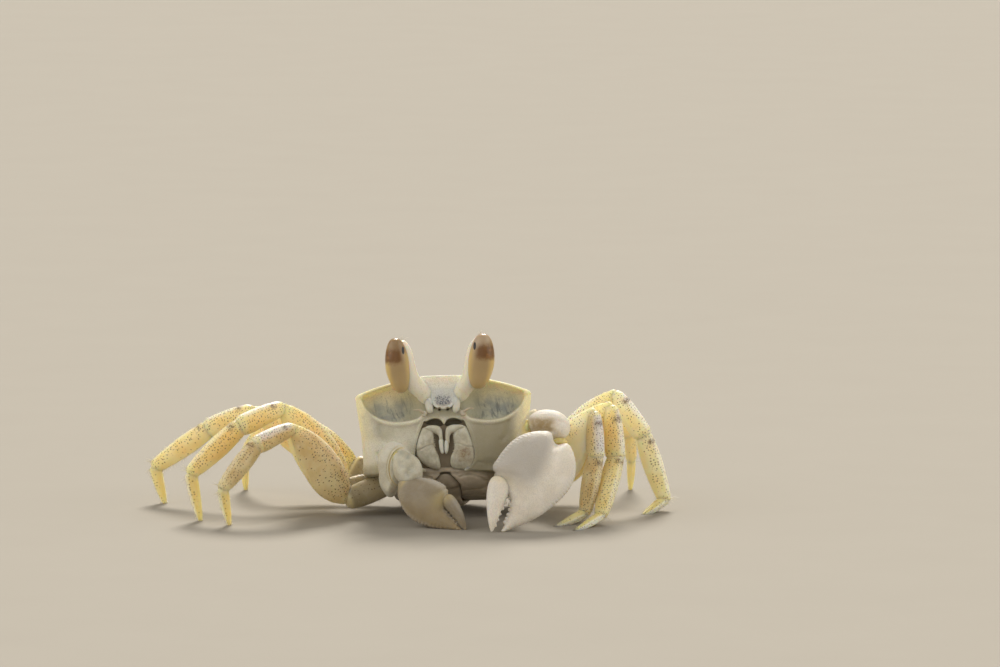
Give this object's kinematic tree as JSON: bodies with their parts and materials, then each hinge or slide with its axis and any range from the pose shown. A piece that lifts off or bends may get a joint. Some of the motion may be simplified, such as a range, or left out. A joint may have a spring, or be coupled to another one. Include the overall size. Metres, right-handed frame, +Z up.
{
  "type": "ghost crab model",
  "caption": "Life-size still model of a smooth-handed ghost crab resting on its toes and claws, eyestalks raised, left claw the larger.",
  "frame": {"origin": "centre of the model's bounding box in plan, on the floor that the toes and claws rest on", "axes": "+X is the crab's left, the model's longest extent; the crab faces -Y; +Z is up"},
  "size_m": [0.1074, 0.061, 0.0384],
  "materials": {
    "shell": "satin, finely granular ivory-grey shell, translucent at the margins",
    "belly": "smooth grey-white shell plates with darker seams",
    "eyestalk": "smooth, translucent cream",
    "cornea": "glossy brown, darker in its upper half",
    "claw": "satin white shell with a lavender-grey tint and fine granules",
    "leg": "translucent warm yellow shell with fine dark stipples, paler on the back edges"
  },
  "bodies": {
    "root": {"shield": "shell", "breast": "belly", "tail": "belly", "mouth_plate_L": "belly", "mouth_plate_R": "belly", "feeler_L": "belly", "feeler_R": "belly", "eyestalk_R": "eyestalk", "eye_R": "cornea", "eyestalk_L": "eyestalk", "eye_L": "cornea", "claw_L_arm": "claw", "claw_L_wrist": "claw", "claw_L_hand": "claw", "claw_L_finger": "claw", "claw_R_arm": "claw", "claw_R_wrist": "claw", "claw_R_hand": "claw", "claw_R_finger": "claw", "leg_R1_hip": "leg", "leg_R1_thigh": "leg", "leg_R1_wrist": "leg", "leg_R1_shin": "leg", "leg_R1_toe": "leg", "leg_R2_hip": "leg", "leg_R2_thigh": "leg", "leg_R2_wrist": "leg", "leg_R2_shin": "leg", "leg_R2_toe": "leg", "leg_R3_hip": "leg", "leg_R3_thigh": "leg", "leg_R3_wrist": "leg", "leg_R3_shin": "leg", "leg_R3_toe": "leg", "leg_R4_hip": "leg", "leg_R4_thigh": "leg", "leg_R4_wrist": "leg", "leg_R4_shin": "leg", "leg_R4_toe": "leg", "leg_L1_hip": "leg", "leg_L1_thigh": "leg", "leg_L1_wrist": "leg", "leg_L1_shin": "leg", "leg_L1_toe": "leg", "leg_L2_hip": "leg", "leg_L2_thigh": "leg", "leg_L2_wrist": "leg", "leg_L2_shin": "leg", "leg_L2_toe": "leg", "leg_L3_hip": "leg", "leg_L3_thigh": "leg", "leg_L3_wrist": "leg", "leg_L3_shin": "leg", "leg_L3_toe": "leg", "leg_L4_hip": "leg", "leg_L4_thigh": "leg", "leg_L4_wrist": "leg", "leg_L4_shin": "leg", "leg_L4_toe": "leg"}
  },
  "joints": []
}
